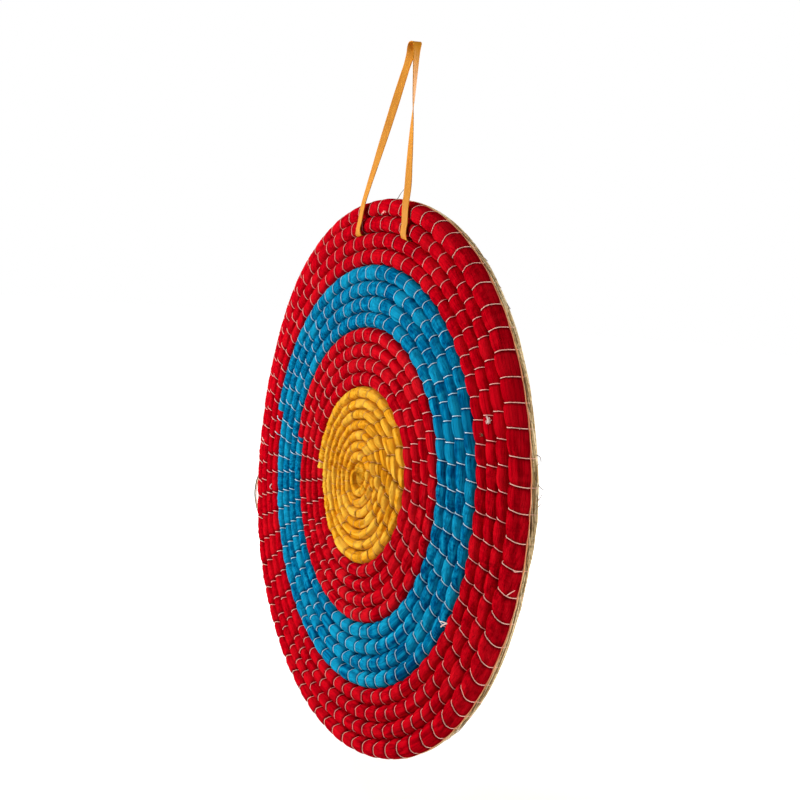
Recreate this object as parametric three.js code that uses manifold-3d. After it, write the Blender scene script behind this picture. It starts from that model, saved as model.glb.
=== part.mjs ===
// Round straw archery boss on a ribbon hanger. One thick straw rope is coiled flat round an eye, its
// front wrapped in four colours of cloth, and a ribbon loop comes out of two slots near the rim.
// Millimetres, +Z up, the shooting face towards -Y. The origin is where the loop rests on its hook.
import * as THREE from "three";
import { mergeVertices } from "three/addons/utils/BufferGeometryUtils.js";
import Module from "manifold-3d";

const wasm = await Module();
wasm.setup();

// Coil: the eye in the middle, then turns of rope, each zone with its own pitch from turn to turn
const eyeRadius = 7;
const yellowTurns = 7;
const yellowPitch = 9.7;
const innerRedTurns = 4;
const innerRedPitch = 13.5;
const blueTurns = 4;
const bluePitch = 14.4;
const outerRedTurns = 4;
const outerRedPitch = 14.7;
const turnGap = 0.6;

// Rope section: full depth from crest to back, how far the cloth reaches round, and the cloth itself
const ropeDepth = 20;
const clothReach = 12;
const clothThickness = 3;
const clothGap = 0.7;
const flatShare = 0.6;

// The eye's two halves, by layer from front to back: how far each reaches towards the first turn
const capShares = [0.55, 0.9, 1, 0.8];
const coreShares = [0.8, 1, 1, 0.8];

// Each turn steps outwards mostly just past the seam, where colours change. The shares of its pitch
// are those of the first, second and third wave that bend the even spiral that way
const seamAngle = 180;
const sineShares = [0.366, 0.139, -0.041];
const cosineShares = [0, 0.008, -0.062];
const stepsPerTurn = 24;
const taperTurns = 0.25;
const taperShare = 0.35;
const joinGap = 0.5;

// Hanging: the hook above the middle of the coil, and the coil's middle plane ahead of the hook
const hookToCentre = 391;
const hookToMidPlane = 8;
const slotLeftAngle = 10.85;
const slotRightAngle = 12.2;
const slotTurnsIn = 2;

// Ribbon, its slots and the two knots sunk in the back
const ribbonWidth = 10;
const ribbonThickness = 0.8;
const slotClearance = 0.35;
const mouthDepth = 3;
const knotWidth = 12;
const knotHeight = 9;
const knotDepth = 6;
const knotSides = 12;
const knotRings = 8;
const knotClearance = 0.5;
const seatGap = 0.3;
const cutOverrun = 2;

// Ribbon section, as shares of its width and thickness: flat, with its edges drawn in
const ribbonShares = [
  [-0.5, 0.25],
  [-0.5, -0.25],
  [-0.46, -0.5],
  [0.46, -0.5],
  [0.5, -0.25],
  [0.5, 0.25],
  [0.46, 0.5],
  [-0.46, 0.5],
];

// Colours
const straw = { color: 0xc8b478, roughness: 0.9 };
const yellowCloth = { color: 0xf0a51e, roughness: 0.85 };
const redCloth = { color: 0xc80014, roughness: 0.85 };
const blueCloth = { color: 0x0082be, roughness: 0.85 };
const ribbonCloth = { color: 0xe6962d, roughness: 0.6 };

const radians = THREE.MathUtils.degToRad;
const coilZ = -hookToCentre;
const crestY = -hookToMidPlane - ropeDepth / 2;
const backY = crestY + ropeDepth;
const clothEdgeY = crestY + clothReach;
const notchY = crestY + clothThickness;

const zones = [
  { turns: yellowTurns, pitch: yellowPitch },
  { turns: innerRedTurns, pitch: innerRedPitch },
  { turns: blueTurns, pitch: bluePitch },
  { turns: outerRedTurns, pitch: outerRedPitch },
];
const coilTurns = zones.reduce((sum, zone) => sum + zone.turns, 0);

// Radius of the line between two turns, by the turns wound so far from the seam at the eye
function laneRadius(wound) {
  const fraction = wound - Math.floor(wound);
  const eased = sineShares.reduce((sum, share, wave) => {
    const turned = 2 * Math.PI * (wave + 1) * fraction;
    return sum + share * Math.sin(turned) + cosineShares[wave] * (Math.cos(turned) - 1);
  }, fraction);
  let radius = eyeRadius;
  let left = Math.floor(wound);
  for (const zone of zones) {
    const inside = Math.min(left, zone.turns);
    radius += inside * zone.pitch;
    left -= inside;
    if (inside < zone.turns) {
      return radius + eased * zone.pitch;
    }
  }
  return radius + (left + eased) * outerRedPitch;
}

function onCoil(wound, radius, y) {
  const angle = radians(seamAngle) + 2 * Math.PI * wound;
  return new THREE.Vector3(radius * Math.cos(angle), y, coilZ + radius * Math.sin(angle));
}

// The rope's inner and outer side at a place on the coil, drawn in at the rope's last stretch
function ropeSpan(wound) {
  const inner = laneRadius(wound) + turnGap / 2;
  const fullWidth = laneRadius(wound + 1) - laneRadius(wound) - turnGap;
  const left = Math.min((coilTurns - wound) / taperTurns, 1);
  const scale = taperShare + (1 - taperShare) * Math.sin((left * Math.PI) / 2);
  return { inner, width: fullWidth * scale, scale };
}

// The cloth's section and the straw's, by their points: shares of the turn's width from its middle,
// and depths. The first point of each sees all the others, so a fan closes the ends
const clothShares = [0, 0.5, flatShare / 2, -flatShare / 2, -0.5];
const clothDepths = [notchY, clothEdgeY, crestY, crestY, clothEdgeY];
const strawShares = [0, -0.5, -flatShare / 2, flatShare / 2, 0.5];
const strawRoofY = clothEdgeY + clothGap;
const strawDepths = [notchY + clothGap, strawRoofY, backY, backY, strawRoofY];

function ropeSection(wound, shares, depths) {
  const { inner, width, scale } = ropeSpan(wound);
  const middle = inner + width / 2;
  const midY = (crestY + backY) / 2;
  return shares.map((share, at) => {
    const y = midY + (depths[at] - midY) * scale;
    return onCoil(wound, middle + share * width, y);
  });
}

// Joins rings of points into one closed skin with a fan on each end, turned to face out. Opposite
// sides are split along the same diagonal, so a thin strip keeps its thickness where it twists
function skin(rings) {
  const count = rings[0].length;
  const positions = rings.flat().flatMap((point) => [point.x, point.y, point.z]);
  const index = [];
  for (let ring = 0; ring < rings.length - 1; ring += 1) {
    for (let side = 0; side < count; side += 1) {
      const here = ring * count + side;
      const beside = ring * count + ((side + 1) % count);
      if (side < count / 2) {
        index.push(here, beside, here + count);
        index.push(beside, beside + count, here + count);
      } else {
        index.push(here, beside, beside + count);
        index.push(here, beside + count, here + count);
      }
    }
  }
  const last = (rings.length - 1) * count;
  for (let side = 1; side < count - 1; side += 1) {
    index.push(0, side + 1, side);
    index.push(last, last + side, last + side + 1);
  }
  return facingOut(positions, index);
}

function facingOut(positions, index) {
  const corner = (at) => new THREE.Vector3().fromArray(positions, at * 3);
  let volume = 0;
  for (let at = 0; at < index.length; at += 3) {
    const [a, b, c] = [corner(index[at]), corner(index[at + 1]), corner(index[at + 2])];
    volume += a.dot(b.cross(c));
  }
  if (volume < 0) {
    index.reverse();
  }
  const geometry = new THREE.BufferGeometry();
  geometry.setAttribute("position", new THREE.Float32BufferAttribute(positions, 3));
  geometry.setIndex(index);
  return geometry;
}

function toManifold(geometry) {
  const bare = geometry.clone();
  bare.deleteAttribute("normal");
  bare.deleteAttribute("uv");
  const merged = mergeVertices(bare);
  return new wasm.Manifold(new wasm.Mesh({
    numProp: 3,
    vertProperties: new Float32Array(merged.attributes.position.array),
    triVerts: new Uint32Array(merged.index.array),
  }));
}

function fromManifold(solid) {
  const mesh = solid.getMesh();
  const geometry = new THREE.BufferGeometry();
  geometry.setAttribute("position", new THREE.BufferAttribute(mesh.vertProperties, 3));
  geometry.setIndex(new THREE.BufferAttribute(mesh.triVerts, 1));
  return geometry;
}

// A wound stretch of the rope from one place to another, and the least gap between its own turns
function wind(name, from, to, shares, depths) {
  const rings = [];
  const first = Math.round(from * stepsPerTurn);
  const last = Math.round(to * stepsPerTurn);
  for (let step = first; step <= last; step += 1) {
    let wound = step / stepsPerTurn;
    const halfJoin = joinGap / (4 * Math.PI * laneRadius(wound));
    if (step === first) {
      wound += halfJoin;
    }
    if (step === last) {
      wound -= halfJoin;
    }
    rings.push(ropeSection(wound, shares, depths));
  }
  console.log(`${name}: least gap between its turns ${leastGap(rings).toFixed(2)} mm`);
  return skin(rings);
}

function leastGap(rings) {
  let least = Infinity;
  const apart = Math.round(stepsPerTurn / 2);
  for (let ring = 0; ring < rings.length; ring += 1) {
    for (let other = ring + apart; other < rings.length; other += 1) {
      for (const point of rings[ring]) {
        for (const next of rings[other]) {
          least = Math.min(least, point.distanceTo(next));
        }
      }
    }
  }
  return least;
}

// The eye fills the first turn's inside: a snail outline, drawn in towards its crest or its back
function eye(shares, depths) {
  const rings = shares.map((share, layer) => {
    const y = depths[layer];
    const ring = [onCoil(0, 0, y)];
    for (let step = 0; step <= stepsPerTurn; step += 1) {
      let wound = step / stepsPerTurn;
      const radius = laneRadius(wound) - turnGap / 2;
      if (step === stepsPerTurn) {
        wound -= joinGap / (2 * Math.PI * eyeRadius);
      }
      ring.push(onCoil(wound, radius * share, y));
    }
    return ring;
  });
  return skinFromCentres(rings);
}

// Like skin, for rings whose first point is the middle and whose others go round it
function skinFromCentres(rings) {
  const count = rings[0].length;
  const positions = rings.flat().flatMap((point) => [point.x, point.y, point.z]);
  const index = [];
  const around = count - 1;
  for (let ring = 0; ring < rings.length - 1; ring += 1) {
    for (let side = 0; side < around; side += 1) {
      const here = ring * count + 1 + side;
      const beside = ring * count + 1 + ((side + 1) % around);
      index.push(here, beside, here + count);
      index.push(beside, beside + count, here + count);
    }
  }
  const last = (rings.length - 1) * count;
  for (let side = 0; side < around; side += 1) {
    const next = (side + 1) % around;
    index.push(0, 1 + next, 1 + side);
    index.push(last, last + 1 + side, last + 1 + next);
  }
  const live = index.map((value) => {
    const middle = value % count === 0 && value !== 0 && value !== last;
    return middle ? 0 : value;
  });
  return dropUnused(positions, live);
}

function dropUnused(positions, index) {
  const places = new Map();
  const kept = [];
  const fresh = index.map((value) => {
    if (!places.has(value)) {
      places.set(value, places.size);
      kept.push(...positions.slice(value * 3, value * 3 + 3));
    }
    return places.get(value);
  });
  return facingOut(kept, fresh);
}

// A slot: its middle on the line between two turns, whose sides are straight between corners
function slotFrame(side) {
  const angle = radians(side < 0 ? 90 + slotLeftAngle : 90 - slotRightAngle);
  const seam = radians(seamAngle);
  const fraction = (angle - seam) / (2 * Math.PI) + 1;
  const wound = coilTurns - slotTurnsIn + fraction;
  const halfStep = Math.PI / stepsPerTurn;
  const pastCorner = (wound * stepsPerTurn - Math.floor(wound * stepsPerTurn)) * 2 * halfStep;
  const radius = (laneRadius(wound) * Math.cos(halfStep)) / Math.cos(pastCorner - halfStep);
  const middle = onCoil(wound, radius, 0);
  const outward = new THREE.Vector3(Math.cos(angle), 0, Math.sin(angle));
  const along = new THREE.Vector3(Math.sin(angle), 0, -Math.cos(angle));
  return { middle, outward, along };
}

// A block centred on a slot, by its length along the turns, its height outwards and its depth span
function slotBlock(side, length, height, frontY, rearY) {
  const { middle, outward, along } = slotFrame(side);
  const box = new THREE.BoxGeometry(length, rearY - frontY, height);
  const turn = new THREE.Matrix4().makeBasis(along, new THREE.Vector3(0, 1, 0), outward);
  turn.setPosition(middle.x, (frontY + rearY) / 2, middle.z);
  return box.applyMatrix4(turn);
}

function slotCut(side) {
  const length = ribbonWidth + 2 * slotClearance;
  const height = ribbonThickness + 2 * slotClearance;
  return toManifold(slotBlock(side, length, height, crestY - cutOverrun, backY + cutOverrun));
}

function knotPocket(side) {
  const length = knotWidth + 2 * knotClearance;
  const height = knotHeight + 2 * knotClearance;
  const floorY = backY - knotDepth - knotClearance;
  return toManifold(slotBlock(side, length, height, floorY, backY + cutOverrun));
}

const sides = { left: -1, right: 1 };

function cutForRibbon(geometry, cuts) {
  const solid = toManifold(geometry);
  return fromManifold(cuts.reduce((whole, cut) => whole.subtract(cut), solid));
}

// A knot: a squashed ball whose back lies level with the back of the boss
function knot(side) {
  const { middle, outward, along } = slotFrame(side);
  const ball = new THREE.SphereGeometry(1, knotSides, knotRings);
  const turn = new THREE.Matrix4().makeBasis(along, new THREE.Vector3(0, 1, 0), outward);
  turn.scale(new THREE.Vector3(knotWidth / 2, knotDepth / 2, knotHeight / 2));
  turn.setPosition(middle.x, backY - knotDepth / 2, middle.z);
  return ball.applyMatrix4(turn);
}

function ribbonSection(middle, across, through) {
  return ribbonShares.map(([widthShare, thicknessShare]) => middle.clone()
    .addScaledVector(across, widthShare * ribbonWidth)
    .addScaledVector(through, thicknessShare * ribbonThickness));
}

// The stretch of ribbon held in a slot, from the knot to the mouth
function ribbonEnd(side) {
  const { middle, outward, along } = slotFrame(side);
  const rearY = backY - knotDepth - seatGap;
  const frontY = crestY + mouthDepth + seatGap;
  const depths = [rearY, (rearY + frontY) / 2, frontY];
  const rings = depths.map((y) => {
    const place = new THREE.Vector3(middle.x, y, middle.z);
    return ribbonSection(place, along, outward);
  });
  return skin(rings);
}

// Route of the free loop, from the left slot over the hook to the right slot. After each place come
// the degrees that the ribbon's width is turned from +X towards +Y, and tipped up towards +Z
const loopRoute = [
  [-41.5, -15, -174.5, 0, 10.85],
  [-41.5, -16.6, -174.5, 0, 10],
  [-41.4, -18, -173.5, 0, 8],
  [-41.1, -18.8, -171.6, 0, 4],
  [-39.2, -18.9, -160.5, 0, 0],
  [-35.8, -18.9, -145.6, 0, 0],
  [-33, -17.3, -132.5, 1, 0],
  [-28.2, -14.6, -112, 5, 0],
  [-23.5, -11.9, -91.6, 11, 0],
  [-18.8, -9.2, -71.2, 16, 0],
  [-14.1, -6.6, -50.9, 18, 0],
  [-9.6, -4, -31, 14, 0],
  [-6.4, -2.1, -17.2, 14, 0],
  [-4.5, -1, -8.6, 30, 0],
  [-3.4, -0.3, -3.4, 62, 3],
  [-2.4, 0, -0.6, 80, 5],
  [0, 0, 0.3, 90, 5],
  [2.6, 0, -0.6, 97, 5],
  [3.8, -0.3, -3.4, 106, 3],
  [5.3, -1, -8.6, 114, 0],
  [7.8, -2.1, -17.2, 121, 0],
  [12, -3.9, -31, 130, 0],
  [18, -6.5, -50.9, 142, 0],
  [24.2, -9.1, -71.2, 161, 0],
  [30.4, -11.8, -91.6, 173, 0],
  [36.6, -14.5, -112, 181, 0],
  [42.9, -17.3, -132.5, 186, 0],
  [45, -19, -145.6, 184, 0],
  [46.1, -18.9, -160.5, 182, 0],
  [46.5, -18.8, -172.6, 180, 4],
  [46.6, -18, -174.5, 180, 8],
  [46.6, -16.6, -175.5, 180, 11],
  [46.6, -15, -175.5, 180, 12.2],
];

function ribbonLoop() {
  const points = loopRoute.map(([x, y, z]) => new THREE.Vector3(x, y, z));
  let length = 0;
  const rings = loopRoute.map(([, , , turned, tipped], at) => {
    const before = points[Math.max(at - 1, 0)];
    const after = points[Math.min(at + 1, points.length - 1)];
    const ahead = after.clone().sub(before).normalize();
    if (at > 0) {
      length += points[at].distanceTo(points[at - 1]);
    }
    const turn = radians(turned);
    const width = new THREE.Vector3(Math.cos(turn), Math.sin(turn), Math.sin(radians(tipped)));
    const across = width.addScaledVector(ahead, -width.dot(ahead)).normalize();
    const through = new THREE.Vector3().crossVectors(ahead, across);
    return ribbonSection(points[at], across, through);
  });
  console.log(`ribbon loop: ${length.toFixed(0)} mm long`);
  return skin(rings);
}

const boss = new THREE.Group();

function add(name, geometry, look) {
  const mesh = new THREE.Mesh(geometry, new THREE.MeshStandardMaterial({ ...look, metalness: 0 }));
  mesh.name = name;
  boss.add(mesh);
}

const slotCuts = Object.values(sides).map(slotCut);
const pockets = Object.values(sides).map(knotPocket);
const yellowEnd = yellowTurns;
const innerRedEnd = yellowEnd + innerRedTurns;
const blueEnd = innerRedEnd + blueTurns;

const rope = wind("straw_rope_coil", 0, coilTurns, strawShares, strawDepths);
add("straw_rope_coil", cutForRibbon(rope, [...slotCuts, ...pockets]), straw);
const coreDepths = [clothEdgeY + seatGap, strawRoofY + seatGap, backY - seatGap, backY];
add("rope_start_eye", eye(coreShares, coreDepths), straw);
const capDepths = [crestY, notchY, clothEdgeY - seatGap, clothEdgeY];
add("eye_cloth_cap", eye(capShares, capDepths), yellowCloth);

function wrap(name, from, to, cuts, look) {
  const cloth = wind(name, from, to, clothShares, clothDepths);
  add(name, cuts.length ? cutForRibbon(cloth, cuts) : cloth, look);
}

wrap("yellow_cloth_wrap", 0, yellowEnd, [], yellowCloth);
wrap("inner_red_cloth_wrap", yellowEnd, innerRedEnd, [], redCloth);
wrap("blue_cloth_wrap", innerRedEnd, blueEnd, [], blueCloth);
wrap("outer_red_cloth_wrap", blueEnd, coilTurns, slotCuts, redCloth);
add("hanger_ribbon_loop", ribbonLoop(), ribbonCloth);
for (const [side, sign] of Object.entries(sides)) {
  add(`ribbon_end_${side}`, ribbonEnd(sign), ribbonCloth);
  add(`ribbon_knot_${side}`, knot(sign), ribbonCloth);
}

export default boss;
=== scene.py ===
import math

import bpy
import numpy as np
from mathutils import Matrix, Vector


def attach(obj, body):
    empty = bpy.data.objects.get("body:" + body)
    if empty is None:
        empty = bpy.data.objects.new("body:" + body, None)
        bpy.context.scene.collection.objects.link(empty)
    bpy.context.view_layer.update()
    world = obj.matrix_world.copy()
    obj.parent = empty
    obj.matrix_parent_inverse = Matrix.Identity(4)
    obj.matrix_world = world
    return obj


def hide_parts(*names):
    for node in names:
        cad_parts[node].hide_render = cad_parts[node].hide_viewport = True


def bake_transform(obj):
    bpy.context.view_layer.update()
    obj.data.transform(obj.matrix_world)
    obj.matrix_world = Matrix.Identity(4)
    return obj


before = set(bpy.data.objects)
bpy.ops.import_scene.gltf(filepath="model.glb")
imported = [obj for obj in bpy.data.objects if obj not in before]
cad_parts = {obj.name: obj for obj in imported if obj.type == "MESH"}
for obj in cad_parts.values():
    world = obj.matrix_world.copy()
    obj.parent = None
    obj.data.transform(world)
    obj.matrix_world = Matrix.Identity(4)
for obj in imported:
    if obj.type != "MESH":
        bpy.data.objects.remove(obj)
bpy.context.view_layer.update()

# Looks of a round straw archery boss: one straw rope coiled flat, its front wrapped in puffed cloth of
# four colours, sewn turn to turn with pale thread, and hung from a ribbon. Metres, shooting face to -Y.

MM = 0.001
TAU = 2 * math.pi

# Coil, as in the frame: a turn's pitch by zone, and the waves that put its steps just past the seam
EYE_RADIUS = 7 * MM
ZONE_TURNS = (7, 4, 4, 4)
ZONE_PITCHES = (9.7 * MM, 13.5 * MM, 14.4 * MM, 14.7 * MM)
COIL_TURNS = sum(ZONE_TURNS)
RIM_START = COIL_TURNS - 1
SEAM_ANGLE = math.pi
SINE_SHARES = (0.366, 0.139, -0.041)
COSINE_SHARES = (0, 0.008, -0.062)
HOOK_TO_CENTRE = 391 * MM
CREST_Y = -18 * MM
CLOTH_EDGE_Y = -6 * MM
BACK_Y = 2 * MM
MID_Y = (CREST_Y + BACK_Y) / 2
# The rope's last stretch, over which it narrows to a share of its size
TAPER_TURNS = 0.36
TAPER_SHARE = 0.22

# Where each colour really starts on the coil, in turns past the whole turn
COLOUR_SHIFTS = {"yellow": 0, "inner_red": 0.0228, "blue": -0.0117, "outer_red": -0.0242}

# Cloth section: the powers that make its arch square on its inner and outer side, and round or flat in
# depth, how much it leans inwards, and where round the boss it is fullest. On the far side from there it
# is drawn tight and flat
ARCH_INNER_POWER = 0.66
ARCH_OUTER_POWER = 0.8
ROUND_POWER = 0.9
FLAT_POWER = 0.6
ARCH_TILT_SHARE = 0.09
FULLEST_ANGLE = math.radians(-50)
YELLOW_FULLEST_ANGLE = 0.2
CLOTH_FLOOR = 1.2 * MM

# Shares of half a turn that make up the arch's width on each side: a base, what full loft adds to it and
# what the yellow adds to it
INNER_WIDTH = (0.86, -0.06, -0.1)
INNER_OVERHANG = (0.26, 0.18, 0.06)
INNER_SWELL = (0.05, 0, 0.03)
OUTER_WIDTH = (0.94, -0.04, -0.04)
OUTER_FULLNESS = (0.08, 0.04, 0.06)
OUTER_SWELL = 0.04
RIM_WIDTH = 0.2
RIM_FULLNESS = 0.04
# How far the cloth hangs over the turn inside where no stitch draws it in, and leans by chance
EVEN_HANG = 0.75
LEAN_SHARE = 0.06
# Height of the arch as shares: where a stitch draws it in, in the middle of a cell, and by chance
LOW_HEIGHT = 0.9
LOW_BY_LOFT = 0.1
FULL_HEIGHT = 0.99
HEIGHT_SWELL = (0.03, 0, 0.02)
# Folds and finer crinkles of the cloth: their depths, and their lengths along the rope
FOLD_DEPTH = 0.5 * MM
YELLOW_FOLD_DEPTH = 0.4 * MM
FOLD_LENGTH = 13 * MM
CRINKLE_DEPTH = 0.32 * MM
CRINKLE_LENGTH = 4 * MM

# How cloth swells between two stitches: its steepness, and how far its lobe lies past its middle
PUFF_POWER = 3.4
PUFF_SKEW_SHARE = 1.2
LOBE_POWER = 0.62
# Half the way that a stitch runs back along the rope, and the same on the lower half of the rim
SLANT = 2.2 * MM
RIM_SLANT = 4.2 * MM
THREAD_RADIUS = 0.36 * MM
YELLOW_THREAD_RADIUS = 0.26 * MM

# Camera, worked out from the photograph: its place, its heading and its roll
CAMERA_PLACE = (950.8 * MM, -517.7 * MM, -194.6 * MM)
CAMERA_AZIMUTH = 60.52
CAMERA_ELEVATION = 6.65
CAMERA_ROLL = 5.6
CAMERA_LENS = 53.2
CAMERA_SENSOR = 36

# Ribbon hanger, and the two slots where it comes out: where each is round the boss, and its X and Z
RIBBON_WIDTH = 10 * MM
RIBBON_THICKNESS = 0.8 * MM
SLOT_DEGREES = {"left": 100.85, "right": 77.8}
SLOT_PLACES = {"left": (-41.5 * MM, -174.5 * MM), "right": (46.6 * MM, -175.5 * MM)}

# Route of the ribbon's free loop in millimetres, from the left slot over the hook to the right slot.
# After each place come the degrees that its width is turned from +X towards +Y, and tipped towards +Z
LOOP_ROUTE = [
    (-41.5, -15, -174.5, 0, 10.85),
    (-41.5, -16.6, -174.5, 0, 10),
    (-41.4, -18, -173.5, -2, 8),
    (-41.1, -18.8, -171.6, -5, 4),
    (-39.2, -18.9, -160.5, -6, 0),
    (-35.8, -18.9, -145.6, -6, 0),
    (-33, -17.3, -132.5, -3, 0),
    (-28.2, -14.6, -112, 3, 0),
    (-23.5, -11.9, -91.6, 11, 0),
    (-18.8, -9.2, -71.2, 16, 0),
    (-14.1, -6.6, -50.9, 18, 0),
    (-9.6, -4, -31, 14, 0),
    (-6.4, -2.1, -17.2, 14, 0),
    (-4.5, -1, -8.6, 30, 0),
    (-3.4, -0.3, -3.4, 62, 3),
    (-2.4, 0, -0.6, 80, 5),
    (0, 0, 0.3, 90, 5),
    (2.6, 0, -0.6, 97, 5),
    (3.8, -0.3, -3.4, 106, 3),
    (5.3, -1, -8.6, 114, 0),
    (7.8, -2.1, -17.2, 121, 0),
    (12, -3.9, -31, 130, 0),
    (18, -6.5, -50.9, 142, 0),
    (24.2, -9.1, -71.2, 161, 0),
    (30.4, -11.8, -91.6, 173, 0),
    (36.6, -14.5, -112, 181, 0),
    (42.9, -17.3, -132.5, 186, 0),
    (45, -19, -145.6, 184, 0),
    (46.1, -18.9, -160.5, 182, 0),
    (46.5, -18.8, -172.6, 180, 4),
    (46.6, -18, -174.5, 180, 8),
    (46.6, -16.6, -175.5, 180, 11),
    (46.6, -15, -175.5, 180, 12.2),
]


def place_camera():
    azimuth = math.radians(CAMERA_AZIMUTH)
    elevation = math.radians(CAMERA_ELEVATION)
    back = Vector((math.sin(azimuth) * math.cos(elevation),
                   -math.cos(azimuth) * math.cos(elevation),
                   math.sin(elevation)))
    level_right = Vector((math.cos(azimuth), math.sin(azimuth), 0))
    roll = Matrix.Rotation(math.radians(CAMERA_ROLL), 3, back)
    right = roll @ level_right
    up = back.cross(right)
    data = bpy.data.cameras.new("camera")
    data.lens = CAMERA_LENS
    data.sensor_width = CAMERA_SENSOR
    camera = bpy.data.objects.new("camera", data)
    camera.matrix_world = Matrix.Translation(CAMERA_PLACE) @ Matrix((right, up, back)).transposed().to_4x4()
    bpy.context.scene.collection.objects.link(camera)
    bpy.context.scene.camera = camera


place_camera()


def new_mesh(name, points, quads, attributes=None):
    """A smooth mesh object from arrays of points and faces, with named values on its points."""
    mesh = bpy.data.meshes.new(name)
    mesh.from_pydata(np.asarray(points).tolist(), [], [list(face) for face in quads])
    mesh.validate()
    mesh.polygons.foreach_set("use_smooth", [True] * len(mesh.polygons))
    for key, values in (attributes or {}).items():
        kind = "FLOAT_VECTOR" if np.ndim(values) == 2 else "FLOAT"
        layer = mesh.attributes.new(key, kind, "POINT")
        layer.data.foreach_set("vector" if kind == "FLOAT_VECTOR" else "value", np.ravel(values))
    piece = bpy.data.objects.new(name, mesh)
    bpy.context.scene.collection.objects.link(piece)
    return piece


def tube_faces(rings, around, first=0):
    """Faces of one closed tube of rings, the first point of each ring lying beside its last."""
    faces = []
    for ring in range(rings - 1):
        for side in range(around):
            here = first + ring * around + side
            beside = first + ring * around + (side + 1) % around
            faces.append((here, beside, beside + around, here + around))
    last = first + (rings - 1) * around
    faces.append(tuple(first + side for side in reversed(range(around))))
    faces.append(tuple(last + side for side in range(around)))
    return faces


# A direction that no tube here starts along
ANY_DIRECTION = (0.31, 0.87, 0.39)


def sides_along(path):
    """Two unit vectors across a path at each of its points, with no sudden twist."""
    ahead = np.gradient(path, axis=0)
    ahead /= np.linalg.norm(ahead, axis=1, keepdims=True) + 1e-12
    first = np.cross(ahead[0], ANY_DIRECTION)
    side = [first / np.linalg.norm(first)]
    for direction in ahead[1:]:
        turned = side[-1] - direction * np.dot(side[-1], direction)
        side.append(turned / np.linalg.norm(turned))
    side = np.array(side)
    return side, np.cross(ahead, side)


def distances_along(path):
    """Distance from the path's start to each of its points, from point to point."""
    return np.concatenate([[0], np.cumsum(np.linalg.norm(np.diff(path, axis=0), axis=1))])


class Tubes:
    """Gathers many thin round tubes into one mesh."""

    def __init__(self, around):
        self.around = around
        self.points = []
        self.faces = []
        self.tints = []
        self.lengths = []
        self.count = 0

    def add(self, path, radii, tint):
        path = np.asarray(path, float)
        radii = np.broadcast_to(np.asarray(radii, float), (len(path),))
        side, other = sides_along(path)
        turn = np.arange(self.around) * TAU / self.around
        ring = side[:, None] * np.cos(turn)[None, :, None] + other[:, None] * np.sin(turn)[None, :, None]
        self.points.append((path[:, None] + ring * radii[:, None, None]).reshape(-1, 3))
        self.faces += tube_faces(len(path), self.around, self.count)
        self.lengths.append(np.repeat(distances_along(path), self.around))
        self.tints.append(np.full(len(path) * self.around, tint))
        self.count += len(path) * self.around

    def piece(self, name):
        attributes = {"tint": np.concatenate(self.tints), "along": np.concatenate(self.lengths)}
        return new_mesh(name, np.concatenate(self.points), self.faces, attributes)


class Noise:
    """Smooth noise on a grid, the same at each run."""

    def __init__(self, seed, size=256):
        self.table = np.random.default_rng(seed).uniform(-1, 1, (size, size))
        self.size = size

    def at(self, across, along):
        """The noise from -1 to 1 at places measured in cells of the grid."""
        across, along = np.broadcast_arrays(np.asarray(across, float), np.asarray(along, float))
        row, column = np.floor(across).astype(int), np.floor(along).astype(int)
        x, y = across - row, along - column
        x, y = x * x * (3 - 2 * x), y * y * (3 - 2 * y)
        pick = lambda i, j: self.table[(row + i) % self.size, (column + j) % self.size]
        near = pick(0, 0) * (1 - y) + pick(0, 1) * y
        far = pick(1, 0) * (1 - y) + pick(1, 1) * y
        return near * (1 - x) + far * x


def lane_of(along, across):
    """The lane attribute of a grid of points: where each lies along and across its strip."""
    return np.stack([along, across, np.zeros_like(across)], axis=-1).reshape(-1, 3)


def smooth_step(value, low, high):
    share = np.clip((value - low) / (high - low), 0, 1)
    return share * share * (3 - 2 * share)


# The coil. A place along the rope is given by the turns wound so far from the seam at the eye

# How far on each side of a turn's start a change of shape there is spread, and the places that a turn
# is sampled at to measure lengths
TURN_EASE = 0.02
SAMPLES_PER_TURN = 720


def lane_table():
    """Radii of the lines between turns at the seam, from the eye outwards, and the pitches between them."""
    radii = [EYE_RADIUS]
    pitches = []
    for turns, pitch in zip(ZONE_TURNS, ZONE_PITCHES):
        for _ in range(turns):
            radii.append(radii[-1] + pitch)
            pitches.append(pitch)
    pitches += [pitches[-1]] * 2
    radii.append(radii[-1] + pitches[-1])
    return np.array(radii), np.array(pitches)


LANES, PITCHES = lane_table()
TURN_ENDS = np.cumsum(ZONE_TURNS)


def lane_radius(wound):
    """Radius of the line along the inner side of the turn at a place."""
    wound = np.asarray(wound, float)
    whole = np.clip(np.floor(wound).astype(int), 0, len(LANES) - 1)
    part = wound - whole
    eased = part
    for wave in range(3):
        turned = TAU * (wave + 1) * part
        eased = eased + SINE_SHARES[wave] * np.sin(turned) + COSINE_SHARES[wave] * (np.cos(turned) - 1)
    return LANES[whole] + eased * PITCHES[whole]


def angle_at(wound):
    """Angle of a place round the boss, counterclockwise from +X as seen from the front."""
    return SEAM_ANGLE + TAU * np.asarray(wound, float)


def on_coil(wound, radius, depth):
    """The point of the shared frame at a place along the rope, a radius and a depth."""
    radius, depth, angle = np.broadcast_arrays(radius, depth, angle_at(wound))
    return np.stack([radius * np.cos(angle), depth, radius * np.sin(angle) - HOOK_TO_CENTRE], axis=-1)


def wound_at(angle, turn):
    """Turns wound at an angle in degrees, counterclockwise from +X, on the turn counted from the eye."""
    return turn + ((angle - math.degrees(SEAM_ANGLE)) % 360) / 360


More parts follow.
